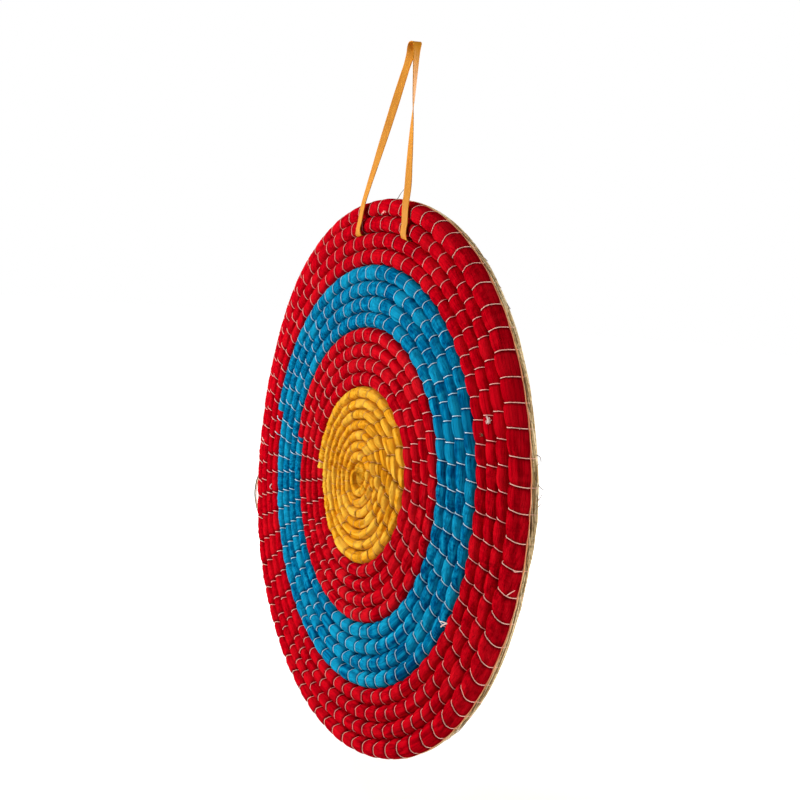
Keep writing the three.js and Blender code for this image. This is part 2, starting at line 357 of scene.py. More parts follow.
def wound_by_length(start, end, step):
    """Places along the rope from start to end, in turns, about one step of length apart."""
    fine = np.linspace(start, end, int((end - start) * SAMPLES_PER_TURN) + 2)
    middle = (lane_radius(fine) + lane_radius(fine + 1)) / 2
    length = np.concatenate([[0], np.cumsum(np.diff(fine) * TAU * (middle[1:] + middle[:-1]) / 2)])
    wanted = np.linspace(0, length[-1], max(int(length[-1] / step), 2))
    return np.interp(wanted, length, fine)


def on_rim(wound):
    """1 on the last turn, along the rim, and 0 on those inside it."""
    return smooth_step(wound, RIM_START - TURN_EASE, RIM_START + TURN_EASE)


# Stitches, one after another along the rope

ZONE_SPACINGS = (18 * MM, 18 * MM, 18.5 * MM, 19 * MM)
RIM_SPACING = 20.5 * MM
# Spacing grows from half at the eye to the whole at this turn
WHOLE_SPACING_TURN = 5
SPACING_JITTERS = (0.3, 0.14, 0.12, 0.09)
# Where stitches line up with those of the turn inside, in degrees round the boss: on the lower left on
# all turns, and on the right on some. How far they follow, and the shares of a step that limit it
LINED_UP_LEFT = (182, 250)
LINED_UP_RIGHT = (320, 30)
LINED_UP_RIGHT_TURNS = (9, 13, 16, 17)
LINED_UP_SHARE = 0.9
FARTHEST_MOVE = 0.45
LEAST_STEP = 0.6


def lines_up(wound):
    """Whether stitches there follow those of the turn inside."""
    degrees = math.degrees(angle_at(wound)) % 360
    on_left = LINED_UP_LEFT[0] < degrees < LINED_UP_LEFT[1]
    on_right = degrees > LINED_UP_RIGHT[0] or degrees < LINED_UP_RIGHT[1]
    return on_left or (on_right and int(wound) in LINED_UP_RIGHT_TURNS)


def stitch_places():
    rng = np.random.default_rng(5)
    places = [0.0]
    while places[-1] < COIL_TURNS:
        wound = places[-1]
        zone = int(np.searchsorted(TURN_ENDS, wound, side="right"))
        spacing = RIM_SPACING if wound > RIM_START else ZONE_SPACINGS[zone]
        spacing *= min(1, 0.5 + 0.5 * wound / WHOLE_SPACING_TURN)
        step = spacing / (TAU * (lane_radius(wound) + lane_radius(wound + 1)) / 2)
        jitter = SPACING_JITTERS[zone] * rng.uniform(-1, 1)
        following = wound + step * (1 + jitter)
        if zone > 0 and lines_up(following):
            inside = np.array(places)
            nearest = inside[np.argmin(np.abs(inside - (following - 1)))] + 1
            if abs(nearest - following) < FARTHEST_MOVE * step and nearest - wound > LEAST_STEP * step:
                following += LINED_UP_SHARE * (nearest - following)
        places.append(following)
    return np.array(places)


STITCHES = stitch_places()
# Chance values for each cell of cloth between two stitches
CELL_RNG = np.random.default_rng(11)
CELL_SWELL = CELL_RNG.uniform(-1, 1, len(STITCHES) + 1)
CELL_LEAN = CELL_RNG.uniform(-1, 1, len(STITCHES) + 1)
CELL_FOLD = CELL_RNG.uniform(0, 1, len(STITCHES) + 1)
WRINKLES = Noise(21)
FINE = Noise(22)


def slant_at(wound):
    """Half the way that a stitch runs back along the rope: more on the lower half of the last turn."""
    lower = smooth_step(-np.sin(angle_at(wound) + 0.12), 0, 0.25)
    return SLANT + (RIM_SLANT - SLANT) * lower * on_rim(wound)


def cell_at(wound):
    """Which cell of cloth a place is in, and how far it is from the cell's start to its end."""
    index = np.clip(np.searchsorted(STITCHES, wound, side="right") - 1, 0, len(STITCHES) - 2)
    start, end = STITCHES[index], STITCHES[index + 1]
    return index, np.clip((wound - start) / (end - start), 0, 1)


def puff(share):
    """How full a cell is: nothing at its stitches, 1 in its middle."""
    return np.sqrt(np.clip(1 - np.abs(2 * share ** PUFF_SKEW_SHARE - 1) ** PUFF_POWER, 0, 1))


def lobe(share):
    """How far a cell's rounded edge hangs over the turn inside, as a share."""
    return np.sin(math.pi * np.clip(share, 0, 1) ** PUFF_SKEW_SHARE).clip(0, 1) ** LOBE_POWER


# How far along the rope a slot keeps the cloth from hanging over. Where round the boss the yellow's
# stitches draw it in most, and how much less they do on the far side
MOUTH_REACH = 8 * MM
YELLOW_DRAWN_ANGLE = 0.4
YELLOW_EASE = 0.7


def near_mouths(wound):
    """1 where the ribbon comes out beside the turn that starts at its slot, and 0 away from there."""
    near = 0.0
    for degrees in SLOT_DEGREES.values():
        mouth = wound_at(degrees, COIL_TURNS - 2)
        away = (wound - mouth) * TAU * lane_radius(mouth)
        near = near + np.exp(-((away / MOUTH_REACH) ** 4))
    return near


def loft(wound):
    """How full the cloth is by its place round the boss: 1 at the lower right, 0 at the upper left."""
    return 0.5 + 0.5 * np.cos(angle_at(wound) - FULLEST_ANGLE)


def in_yellow_at(wound):
    """1 in the yellow and 0 beyond it."""
    return smooth_step(ZONE_TURNS[0] - np.asarray(wound, float), 0, 2 * TURN_EASE)


def drawn_at(wound):
    """How deep stitches draw the cloth in: fully, but for the yellow away from its upper right."""
    upper_right = np.clip(np.cos(angle_at(wound) - YELLOW_DRAWN_ANGLE), 0, 1)
    return 1 - in_yellow_at(wound) * YELLOW_EASE * (1 - upper_right)


def rope_span(wound):
    """Middle radius, half width and scale of the rope at a place, drawn in at its last stretch."""
    wound = np.asarray(wound, float)
    left = np.clip((COIL_TURNS - wound) / TAPER_TURNS, 0, 1)
    scale = TAPER_SHARE + (1 - TAPER_SHARE) * np.sin(left * math.pi / 2)
    inner = lane_radius(wound)
    half = (lane_radius(wound + 1) - inner) * scale / 2
    return inner + half, half, scale


def drawn_in(depth, scale):
    """A depth as the rope's last stretch draws it in towards its middle."""
    return MID_Y + (depth - MID_Y) * scale


def cloth_point(wound, across, lift=0.0):
    """A point on the cloth: across is 0 at the inner edge of the arch and 1 at its outer edge."""
    wound, across = np.broadcast_arrays(np.asarray(wound, float), np.asarray(across, float))
    middle, half, scale = rope_span(wound)
    x = -np.cos(math.pi * across)
    rise = np.sin(math.pi * across)
    index, share = cell_at(wound + slant_at(wound) * x / (TAU * middle))
    drawn = drawn_at(wound)
    full = 1 - drawn * (1 - puff(share))
    hang = (EVEN_HANG + drawn * (lobe(share) - EVEN_HANG)) * (1 - near_mouths(wound))
    swell = CELL_SWELL[index] * full
    in_yellow = in_yellow_at(wound)
    yellow_loft = 0.45 + 0.45 * np.clip(np.cos(angle_at(wound) - YELLOW_FULLEST_ANGLE), 0, 1)
    lofty = loft(wound)
    lofty = lofty + (yellow_loft - lofty) * in_yellow

    def shared(base, by_loft, by_yellow):
        return base + by_loft * lofty + by_yellow * in_yellow

    arch_x = np.where(x < 0, -np.abs(x) ** ARCH_INNER_POWER, np.abs(x) ** ARCH_OUTER_POWER)
    arch_y = rise ** (FLAT_POWER + (ROUND_POWER - FLAT_POWER) * lofty)
    inner = shared(*INNER_WIDTH) + shared(*INNER_OVERHANG) * hang + shared(*INNER_SWELL) * swell
    outer = shared(*OUTER_WIDTH) + shared(*OUTER_FULLNESS) * full - OUTER_SWELL * swell
    outer = outer + on_rim(wound) * (RIM_WIDTH + RIM_FULLNESS * full)
    low = LOW_HEIGHT - LOW_BY_LOFT * lofty * (1 + in_yellow)
    height = low + (FULL_HEIGHT - low) * full + shared(*HEIGHT_SWELL) * swell
    height = height * (1 - ARCH_TILT_SHARE * lofty * (arch_x + 0.45)) * sag(wound)

    length = wound * TAU * middle
    wrinkle = WRINKLES.at(across * 8 + 3 * CELL_FOLD[index], length / FOLD_LENGTH)
    crinkle = FINE.at(across * 13, length / CRINKLE_LENGTH)
    folds = (FOLD_DEPTH + YELLOW_FOLD_DEPTH * in_yellow) * wrinkle * (1.3 - 0.6 * full)
    folds = folds + CRINKLE_DEPTH * (1 - 0.5 * lofty) * crinkle
    push = (folds * rise + lift) / (np.hypot(arch_x, arch_y) + 1e-9)
    lean = LEAN_SHARE * CELL_LEAN[index] * full * half * rise
    radial = middle + arch_x * half * np.where(x < 0, inner, outer) + lean + arch_x * push
    deep = (CLOTH_EDGE_Y - CREST_Y) * height * arch_y + arch_y * push
    depth = drawn_in(CLOTH_EDGE_Y - deep, scale)
    return radial, depth + ribbon_dent(wound, radial), index, share


# Round the rope's end the outermost turns lie lower: the angles between which that comes and goes, the
# turns over which it comes, and how much
SAG_COMES = (math.radians(125), math.radians(168))
SAG_GOES = (math.radians(180), math.radians(215))
SAG_TURNS = (COIL_TURNS - 2.2, COIL_TURNS - 1.4)
SAG_SHARE = 0.3


def sag(wound):
    """Height of the turns round the rope's end, as a share of what it is elsewhere."""
    angle = angle_at(wound) % TAU
    round_end = smooth_step(angle, *SAG_COMES) * (1 - smooth_step(angle, *SAG_GOES))
    return 1 - SAG_SHARE * round_end * smooth_step(wound, *SAG_TURNS)


# How far each of the ribbon's legs leans sideways over its first stretch on the cloth, and its dent there
LEG_LEANS = {"left": 7 * MM, "right": -1.7 * MM}
LEG_STRETCH = 30 * MM
DENT_REACH = 6.5 * MM
DENT_START = (-1 * MM, 3 * MM)
DENT_DEPTH = 1.3 * MM


def ribbon_dent(wound, radial):
    """How far the ribbon's legs press the cloth back, where they lie over the two outer turns."""
    angle = angle_at(wound)
    near = 0.0
    for side, (slot_x, slot_z) in SLOT_PLACES.items():
        rise = radial * np.sin(angle) - HOOK_TO_CENTRE - slot_z
        leg = slot_x + LEG_LEANS[side] * np.clip(rise / LEG_STRETCH, 0, 1)
        across = (radial * np.cos(angle) - leg) / DENT_REACH
        near = near + np.exp(-across ** 4) * smooth_step(rise, *DENT_START)
    return DENT_DEPTH * near


# Cloth wraps

CLOTH_STEP = 1.3 * MM
YELLOW_CLOTH_STEP = 0.9 * MM
CLOTH_ACROSS = 24
# Half the width of the cloth's flat back, as a share of half a turn
CLOTH_BACK_SHARE = 0.7
# Painted shade on the cloth beside a stitch, in the valleys between turns and on its far flank, as shares
STITCH_SHADE = 0.5
VALLEY_SHADE = 0.9
FLANK_SHADE = 0.32


def painted_shade_at(wound, across, share):
    """Painted shade on the cloth, from 0 to 1: by stitches, in the valleys between turns and on its far
    flank.
    """
    painted_shade = drawn_at(wound) * (STITCH_SHADE * (1 - puff(share)) ** 1.3 + smooth_step(share, 0.86, 0.99))
    valley = 1 - np.sin(math.pi * across) ** 0.8
    rim = on_rim(wound)
    # The far flank goes darker where the cloth is fuller, at the lower right: painted shade by place
    flank = smooth_step(across, 0.62, 0.97) * (1 - rim) + smooth_step(0.3 - across, 0, 0.26) * rim
    return np.clip(painted_shade + VALLEY_SHADE * valley ** 2.2 + FLANK_SHADE * flank * loft(wound), 0, 1)


def closed(front):
    """Values across the cloth's front, and at its two back corners the same as at its edges."""
    return np.concatenate([front, front[:, -1:], front[:, :1]], axis=1)


def cloth_wrap(name, start, end, step):
    """One colour's cloth over the rope from start to end, with its flat back on the straw."""
    rows = wound_by_length(start, end, step)
    wound, across = np.meshgrid(rows, np.linspace(0, 1, CLOTH_ACROSS), indexing="ij")
    radial, depth, index, share = cloth_point(wound, across)
    middle, half, scale = rope_span(rows)
    floor_y = drawn_in(CLOTH_EDGE_Y + CLOTH_FLOOR, scale)
    corners = [on_coil(rows, middle + side * CLOTH_BACK_SHARE * half, floor_y)[:, None] for side in (1, -1)]
    points = np.concatenate([on_coil(wound, radial, depth), *corners], axis=1)
    width = 2 * half[:, None] * across
    length = np.broadcast_to((rows * TAU * middle)[:, None], width.shape)
    painted_shade = painted_shade_at(wound, across, share)
    # The painted shade is full on the cloth's two back corners; the tint is each cell's swell, which the
    # look also turns into painted highlight
    attributes = {
        "lane": lane_of(closed(length), closed(width)),
        "painted_shade": np.concatenate([painted_shade, np.ones((len(rows), 2))], axis=1).ravel(),
        "tint": closed(CELL_SWELL[index]).ravel(),
        "loft": closed(loft(wound)).ravel(),
    }
    faces = [face[::-1] for face in tube_faces(len(rows), CLOTH_ACROSS + 2)]
    return new_mesh(name, points.reshape(-1, 3), faces, attributes)


def cloth_wraps():
    starts = [ends + shift for ends, shift in zip((0, *TURN_ENDS), COLOUR_SHIFTS.values())]
    wraps = {}
    for zone, start, end in zip(COLOUR_SHIFTS, starts, starts[1:] + [COIL_TURNS]):
        step = YELLOW_CLOTH_STEP if zone == "yellow" else CLOTH_STEP
        wraps[zone] = cloth_wrap(zone + "_cloth", start, end, step)
    return wraps


cloths = cloth_wraps()


# Eye: the first turn's inside, under a folded scrap of cloth, with the rope's start showing behind

EYE_RINGS = 18
EYE_AROUND = 96
EYE_FLOOR_SHARE = 0.6
EYE_FOLDS = Noise(31)


def eye_piece(name, rim_y, crest_y, folds, reach):
    """A folded dome over a flat floor. Reach is its size as a share of the eye's."""
    row = np.arange(EYE_AROUND) / EYE_AROUND
    share, wound = np.meshgrid(np.sin(np.linspace(0, 1, EYE_RINGS) * math.pi / 2), row, indexing="ij")
    fold = EYE_FOLDS.at(share * 3.1 + 5, np.cos(TAU * wound) * 2.2 + np.sin(TAU * wound) * 1.7)
    swell = np.cos(share * math.pi / 2) ** 0.5
    depth = rim_y + (crest_y - rim_y) * swell * (1 + folds * fold)
    dome = on_coil(wound, lane_radius(wound) * share * reach, depth)
    floor = on_coil(row, lane_radius(row) * EYE_FLOOR_SHARE * reach, rim_y)
    points = np.concatenate([dome.reshape(-1, 3), floor])
    faces = tube_faces(EYE_RINGS + 1, EYE_AROUND)
    del faces[-2]  # The first ring is a point
    # Painted shade in the folds of the eye's dome, none on its floor
    painted_shade = np.clip(0.4 - 0.5 * np.concatenate([fold.ravel(), np.ones(EYE_AROUND)]), 0, 1)
    attributes = {"lane": points[:, [0, 2, 1]], "painted_shade": painted_shade, "tint": np.zeros(len(points)),
                  "loft": np.ones(len(points))}
    return new_mesh(name, points, faces, attributes)


eye_cloth = eye_piece("eye_cloth", -9 * MM, -17.2 * MM, 0.16, 1.08)
eye_straw = eye_piece("eye_straw", -6 * MM, 1.6 * MM, 0.12, 1.04)


# Straw: the rope's strands at the back and the rim, with single stalks over them

STRAW_STEP = 4 * MM
STRANDS = 22
STRAND_POINTS = 66
STRAND_TWIST = 210 * MM
STRAND_RELIEF = 0.42 * MM
STRAW_LUMPS = Noise(41)
LUMP_RELIEF = 0.35 * MM
LUMP_LENGTH = 26 * MM
STRAW_CENTRE_Y = -3.6 * MM
STRAW_SKIN = 0.4 * MM
# Half width of the straw as a share of half a turn, and how much more it is on the rim's outer side
STRAW_WIDTH = 0.96
RIM_STRAW_WIDTH = 0.14
# The pockets in the back that the knots sink in: half their width and height, and their depth
POCKET_REACH = (7.5 * MM, 6.5 * MM)
POCKET_DEPTH = 4.5 * MM

# Where the rim's straw has worked loose: degrees counterclockwise from +X, their spread, and how far
RIM_FRAYS = ((5, 7, 4.5 * MM), (325, 13, 2 * MM), (48, 22, 1.4 * MM))


def frayed_at(wound):
    """How far out the rim's straw stands there."""
    degrees = np.degrees(angle_at(wound))
    out = 0.0
    for middle, spread, reach in RIM_FRAYS:
        away = (degrees - middle + 180) % 360 - 180
        out = out + reach * np.exp(-((away / spread) ** 2))
    return out


def strand_at(length, turned):
    """How far a strand stands out at a place on the straw: 1 along its crest, 0 between two strands."""
    return np.abs(np.cos(STRANDS / 2 * (turned + TAU * length / STRAND_TWIST / 4)))


def straw_point(wound, turned, lift=0.0):
    """A point on the straw: turned is 0 at the inner side, half a turn at the outer, by way of the back."""
    wound, turned = np.broadcast_arrays(np.asarray(wound, float), np.asarray(turned, float))
    middle, half, scale = rope_span(wound)
    x, y = -np.cos(turned), np.sin(turned)
    length = wound * TAU * middle
    lump = STRAW_LUMPS.at(turned * 2.2, length / LUMP_LENGTH)
    push = STRAND_RELIEF * (np.sqrt(strand_at(length, turned)) - 0.7) + LUMP_RELIEF * lump + lift
    flat_x = np.sign(x) * np.abs(x) ** 0.8
    flat_y = np.sign(y) * np.abs(y) ** 0.85
    at_rim = on_rim(wound) * (x > 0)
    frayed = at_rim * frayed_at(wound) * np.clip(2 * y, 0, 1)
    radial = middle + flat_x * (half * (STRAW_WIDTH + RIM_STRAW_WIDTH * at_rim) + frayed) + x * push
    deep = STRAW_CENTRE_Y + flat_y * (BACK_Y - STRAW_CENTRE_Y - STRAW_SKIN) + y * push
    angle = angle_at(wound)
    pressed = 0.0
    for knot_x, knot_z in SLOT_PLACES.values():
        across = (radial * np.cos(angle) - knot_x) / POCKET_REACH[0]
        up = (radial * np.sin(angle) - HOOK_TO_CENTRE - knot_z) / POCKET_REACH[1]
        pressed = pressed + np.exp(-across ** 4 - up ** 4)
    return radial, drawn_in(deep, scale) - POCKET_DEPTH * pressed * (y > 0), length


def straw_coil():
    row = wound_by_length(0.0, COIL_TURNS, STRAW_STEP)
    around = np.concatenate([np.linspace(0, math.pi, STRAND_POINTS), [math.pi * 1.3, math.pi * 1.7]])
    wound, turned = np.meshgrid(row, around, indexing="ij")
    radial, depth, length = straw_point(wound, turned)
    # Painted shade between the strands, darkest where two strands meet
    attributes = {"lane": lane_of(length, turned * 7 * MM), "painted_shade": 1 - strand_at(length, turned).ravel()}
    points = on_coil(wound, radial, depth).reshape(-1, 3)
    return new_mesh("straw_rope", points, tube_faces(len(row), len(around)), attributes)


STALKS = 1500
RIM_STALKS = 600
STALK_STEP = 6 * MM


def stalks(name, count, first_turn, turned_range, length_range, radius_range, askew, seed):
    """Single stalks that lie along the straw, each a little askew, from the first turn given outwards."""
    rng = np.random.default_rng(seed)
    gathered = Tubes(5)
    for _ in range(count):
        start = first_turn + (COIL_TURNS - 0.02 - first_turn) * rng.uniform() ** 0.62
        length = rng.uniform(*length_range)
        span = length / (TAU * lane_radius(start))
        part = np.linspace(0, 1, max(int(length / STALK_STEP), 4))
        wound = start + part * (min(start + span, COIL_TURNS - 0.005) - start)
        turned = rng.uniform(*turned_range) + rng.uniform(-askew, askew) * part
        ends = np.sin(part * math.pi) ** 0.4
        lift = (0.1 + rng.uniform(0.1, 1.0) * ends) * MM
        radial, depth, _ = straw_point(wound, turned, lift)
        radius = rng.uniform(*radius_range)
        gathered.add(on_coil(wound, radial, depth), radius * (0.5 + 0.5 * ends), rng.uniform())
    return gathered.piece(name)


straw_rope = straw_coil()
back_stalks = stalks("back_stalks", STALKS, 0.2, (0.25, math.pi - 0.25), (45 * MM, 130 * MM),
                     (0.35 * MM, 0.75 * MM), 0.3, 51)
rim_stalks = stalks("rim_stalks", RIM_STALKS, RIM_START, (math.pi * 0.66, math.pi), (20 * MM, 70 * MM),
                    (0.22 * MM, 0.55 * MM), 0.8, 52)


# Stitches over every turn, front and back

FIRST_STITCH = 0.4
FIRST_BACK_STITCH = 0.3
LAST_STITCH = COIL_TURNS - 0.01
THREAD_STEPS = 15
# A stitch lies on the highest of the cloth this far to each side of it, sunk in by a share of its radius
STITCH_REST = 0.45 * MM
STITCH_SINK_SHARE = 0.3
STITCH_SCATTER = 0.25 * MM
# Beyond the cloth a stitch runs thinner over the straw, this high above it
OVER_RIM_STEPS = 6
OVER_RIM_SHARE = 0.7
OVER_RIM_LIFT = 0.8 * MM
BACK_THREAD_STEPS = 11
BACK_THREAD_RADIUS = 0.45 * MM
BACK_THREAD_LIFT = 0.75 * MM


def stitches(name, low, high, radius, over_rim=False):
    """The threads over the cloth on some turns, each a little off its place by chance."""
    rng = np.random.default_rng(61 + int(low))
    across = np.linspace(0.03, 0.97, THREAD_STEPS)
    gathered = Tubes(6)
    for place in STITCHES[(STITCHES >= low) & (STITCHES < high) & (STITCHES <= LAST_STITCH)]:
        circle = TAU * rope_span(place)[0]
        wound = place + slant_at(place) * np.cos(math.pi * across) / circle
        wound = wound + rng.normal(0, STITCH_SCATTER) / circle
        radial, depth, _, _ = cloth_point(wound, across, radius)
        for beside in (-STITCH_REST, STITCH_REST):
            cloth = cloth_point(wound + beside / circle, across, STITCH_SINK_SHARE * radius)
            depth = np.minimum(depth, cloth[1])
        path = on_coil(wound, radial, depth)
        if over_rim:
            turned = np.linspace(1.08 * math.pi, 0.72 * math.pi, OVER_RIM_STEPS)
            radial, depth, _ = straw_point(wound[-1], turned, OVER_RIM_LIFT)
            path = np.concatenate([path, on_coil(wound[-1], radial, depth)])
        thinner = np.where(np.arange(len(path)) < THREAD_STEPS, 1, OVER_RIM_SHARE)
        gathered.add(path, radius * thinner, rng.uniform())
    return gathered.piece(name)


def back_stitches(name):
    """The short slanting threads over the straw at the back."""
    rng = np.random.default_rng(71)
    turned = np.linspace(0.1, 0.93, BACK_THREAD_STEPS) * math.pi
    gathered = Tubes(5)
    for place in STITCHES[(STITCHES >= FIRST_BACK_STITCH) & (STITCHES < LAST_STITCH)]:
        slant = rng.uniform(1.5, 3.5) * MM / (TAU * rope_span(place)[0])
        wound = place + slant * np.linspace(-1, 1, BACK_THREAD_STEPS)
        radial, depth, _ = straw_point(wound, turned, BACK_THREAD_LIFT)
        gathered.add(on_coil(wound, radial, depth), BACK_THREAD_RADIUS, rng.uniform())
    return gathered.piece(name)


threads = {
    "yellow": stitches("yellow_stitches", FIRST_STITCH, TURN_ENDS[0], YELLOW_THREAD_RADIUS),
    "inner_red": stitches("inner_red_stitches", TURN_ENDS[0], TURN_ENDS[1], THREAD_RADIUS),
    "blue": stitches("blue_stitches", TURN_ENDS[1], TURN_ENDS[2], THREAD_RADIUS),
    "outer_red": stitches("outer_red_stitches", TURN_ENDS[2], RIM_START, THREAD_RADIUS),
    "rim": stitches("rim_stitches", RIM_START, COIL_TURNS, THREAD_RADIUS, True),
    "back": back_stitches("back_stitches"),
}


# Ribbon

RIBBON_STEP = 1.2 * MM


def eased_through(values, at, wanted):
    """Values along a smooth curve through the given ones, which lie at the given distances."""
    slopes = np.gradient(values, at, axis=0)
    index = np.clip(np.searchsorted(at, wanted, side="right") - 1, 0, len(at) - 2)
    span = (at[index + 1] - at[index])[:, None]
    part = ((wanted - at[index])[:, None]) / span
    a, b = values[index], values[index + 1]
    c, d = slopes[index] * span, slopes[index + 1] * span
    return ((2 * part ** 3 - 3 * part ** 2 + 1) * a + (part ** 3 - 2 * part ** 2 + part) * c
            + (3 * part ** 2 - 2 * part ** 3) * b + (part ** 3 - part ** 2) * d)


def smooth_path(rows, step):
    """Centres and width directions along a route of places, evenly close together."""
    rows = np.array(rows, float)
    places = rows[:, :3] * MM
    turned, tipped = np.radians(rows[:, 3]), np.radians(rows[:, 4])
    widths = np.stack([np.cos(turned), np.sin(turned), np.sin(tipped)], axis=1)
    at = distances_along(places)
    wanted = np.linspace(0, at[-1], int(at[-1] / step))
    value = eased_through(np.concatenate([places, widths], axis=1), at, wanted)
    return value[:, :3], value[:, 3:]


# Half of the ribbon's section, whose rolled edges are thick: places as shares of half its width, and
# half its thickness there as a share
SECTION_PLACES = (-1, -0.97, -0.86, -0.6, -0.3, 0, 0.3, 0.6, 0.86, 0.97, 1)
SECTION_HEIGHTS = (0.35, 0.8, 1, 0.72, 0.66, 0.64, 0.66, 0.72, 1, 0.8, 0.35)


def ribbon(name, rows):
    """A ribbon along a route, with the line along its middle."""
    centres, widths = smooth_path(rows, RIBBON_STEP)
    ahead = np.gradient(centres, axis=0)
    ahead /= np.linalg.norm(ahead, axis=1, keepdims=True)
    widths -= ahead * np.sum(widths * ahead, axis=1, keepdims=True)
    widths /= np.linalg.norm(widths, axis=1, keepdims=True)
    through = np.cross(ahead, widths)
    across = np.array(SECTION_PLACES + SECTION_PLACES[::-1]) * RIBBON_WIDTH / 2
    height = np.array(SECTION_HEIGHTS) * RIBBON_THICKNESS / 2
    height = np.concatenate([height, -height[::-1]])
    points = centres[:, None] + widths[:, None] * across[:, None] + through[:, None] * height[:, None]
    along, sideways = np.meshgrid(np.arange(len(centres)) * RIBBON_STEP, across, indexing="ij")
    faces = tube_faces(len(centres), len(across))
    return new_mesh(name, points.reshape(-1, 3), faces, {"lane": lane_of(along, sideways)}), centres


loop, loop_path = ribbon("hanger_ribbon", LOOP_ROUTE)
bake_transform(loop)
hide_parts("hanger_ribbon_loop")


# Depths in millimetres along a ribbon's end in its slot. A knot: how far it reaches along the slot, out
# from the boss's middle and in depth, and the radius of the ribbon drawn together in it
END_DEPTHS = (-14.6, -12, -9, -6, -4)
KNOT_STEPS = 120
KNOT_REACH = (4.4 * MM, 3 * MM, 1.2 * MM)
KNOT_Y = -1 * MM
KNOT_RIBBON_RADIUS = 1.55 * MM


def ribbon_end(side):
    slot_x, slot_z = SLOT_PLACES[side]
    tipped = SLOT_DEGREES[side] - 90
    rows = [(slot_x / MM, y, slot_z / MM, 0, tipped) for y in END_DEPTHS]
    piece, _ = ribbon("ribbon_in_slot_" + side, rows)
    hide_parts("ribbon_end_" + side)
    return piece


def ribbon_knot(side):
    """An overhand knot drawn tight, sunk in the back."""
    slot_x, slot_z = SLOT_PLACES[side]
    angle = math.radians(SLOT_DEGREES[side])
    turn = np.linspace(0, TAU, KNOT_STEPS, endpoint=False)
    along = -(2 + np.cos(3 * turn)) * np.cos(2 * turn) / 3
    over = (2 + np.cos(3 * turn)) * np.sin(2 * turn) / 3
    tangent = (math.sin(angle), 0, -math.cos(angle))
    radial = (math.cos(angle), 0, math.sin(angle))
    path = np.array((slot_x, KNOT_Y, slot_z))
    directions = (tangent, radial, (0, 1, 0))
    for share, reach, direction in zip((along, over, np.sin(3 * turn)), KNOT_REACH, directions):
        path = path + np.outer(share * reach, direction)
    gathered = Tubes(10)
    gathered.add(np.concatenate([path, path[:2]]), KNOT_RIBBON_RADIUS, 0.5)
    piece = gathered.piece("ribbon_knot_tied_" + side)
    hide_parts("ribbon_knot_" + side)
    return piece


ribbon_pieces = [make(side) for make in (ribbon_end, ribbon_knot) for side in SLOT_PLACES]


# Edge of the cloth along the rim

RAW_EDGE_SHARE = 1.2
RAW_EDGE_RADIUS = 0.7 * MM
RAW_EDGE_STEP = 2.5 * MM


def cloth_edge():
    """The raw edge of the outer red cloth, a thin wavering roll beside the straw of the rim."""
    wound = wound_by_length(RIM_START, COIL_TURNS - 0.004, RAW_EDGE_STEP)
    middle, half, scale = rope_span(wound)
    radial = middle + half * RAW_EDGE_SHARE + 0.4 * MM * FINE.at(wound * 400, 3.3)
    depth = drawn_in(CLOTH_EDGE_Y + 0.45 * MM + 0.35 * MM * WRINKLES.at(wound * 160, 8.1), scale)
    gathered = Tubes(6)
    gathered.add(on_coil(wound, radial, depth), RAW_EDGE_RADIUS * scale, 0.5)
    return gathered.piece("cloth_edge")


edge = cloth_edge()


# Loose ends of straw and thread. Each place is its degrees round the boss, counterclockwise from +X, its
# distance from the middle and its depth, both in millimetres. Each row starts on what holds the loose end

DARK_STRIP = [(191.6, 244, -12), (192.8, 250.1, -13), (194.4, 254.9, -13), (196.7, 258.6, -13),
              (199.1, 256.5, -13), (201.1, 252.6, -13), (203, 246.5, -12)]
PALE_STRIP = [(192.2, 243.6, -12.6), (193.4, 247.6, -13.4), (195, 251, -13.6), (196.9, 253.4, -13.6),
              (199.5, 252, -13.6), (201.4, 249, -13.4), (202.6, 245.6, -12.4)]
DARK_WISPS = [
    [(184.2, 237, -13), (183, 239.5, -13.4), (182.3, 241.8, -13.6)],
    [(98.6, 247, -8), (97.2, 249.6, -8.6), (95.6, 250.6, -8.4)],
    [(127.5, 243, -8), (125.4, 247, -11), (122.6, 249.4, -12)],
    [(90.2, 247, -6), (88.5, 252.9, -6), (87.6, 256.6, -6.2), (86.4, 261.1, -6)],
    [(60.8, 247, -2), (60, 251.4, -1), (57.7, 252.6, 0)],
    [(55.8, 249, -2), (54.6, 253.6, -1), (52.8, 255.4, 0)],
    [(51, 250, -3), (48.4, 253.8, -2), (45.7, 256.4, -1)],
    [(44.8, 250, -2), (43, 254.6, -1), (41.1, 256.4, 0)],
    [(15.8, 250, -1), (14.6, 256.6, -0.4), (14.1, 260.6, 0), (13.4, 261.4, 0)],
    [(12, 250, -1), (12.6, 255, 0), (13.1, 258, 0.4)],
    [(10.6, 250, -1), (9.9, 256, 0), (9.1, 261.1, 0.2), (8.9, 264.4, 0.4)],
    [(5.6, 250, -1), (6.8, 256.4, 0), (7.6, 260.2, 0.4), (8.3, 262.4, 0.4)],
    [(4.6, 250, -1), (5.8, 257, 0.2), (6.8, 261.6, 0.6)],
]
KNOT_ROWS = [
    [(90, 236.4, -17.6), (89.3, 237.6, -18.8), (88.5, 238.8, -19.2), (88, 239.8, -18.6),
     (88.2, 238.2, -18)],
    [(89.2, 238.2, -18.4), (88.8, 237.8, -19.1), (88.3, 238.7, -19.3), (88.7, 239.6, -18.8),
     (89.1, 239, -18.2)],
]
RIM_THREADS = [
    [(349.8, 249, -13), (350.3, 252, -13.8), (350.9, 254.4, -13.6), (351.5, 256, -11.8), (351.7, 255, -8)],
    [(355.4, 251.6, -12.6), (355.1, 254, -13), (355, 256, -12.6), (355.2, 257.6, -11.4)],
]
